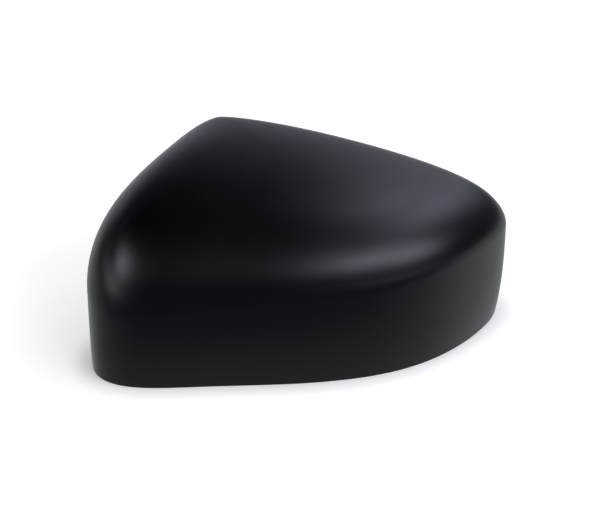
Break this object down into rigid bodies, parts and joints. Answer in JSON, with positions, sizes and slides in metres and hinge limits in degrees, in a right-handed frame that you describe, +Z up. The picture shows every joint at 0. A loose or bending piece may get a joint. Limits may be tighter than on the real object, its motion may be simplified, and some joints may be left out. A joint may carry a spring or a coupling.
{
  "type": "wing mirror cover",
  "caption": "Clip-on outer cover of a car wing mirror: a deep rounded shell, open at the rim, with snap hooks, pegs and ribs inside.",
  "frame": {"origin": "middle of the rim plane, under the middle of the overall box", "axes": "+X along the length towards the narrow outer end, +Y from the near wall to the far side, +Z up out of the round side"},
  "size_m": [0.24, 0.1685, 0.1104],
  "materials": {
    "cover_plastic": "fine matt moulded black"
  },
  "bodies": {
    "root": {"mirror_cover": "cover_plastic"}
  },
  "joints": []
}
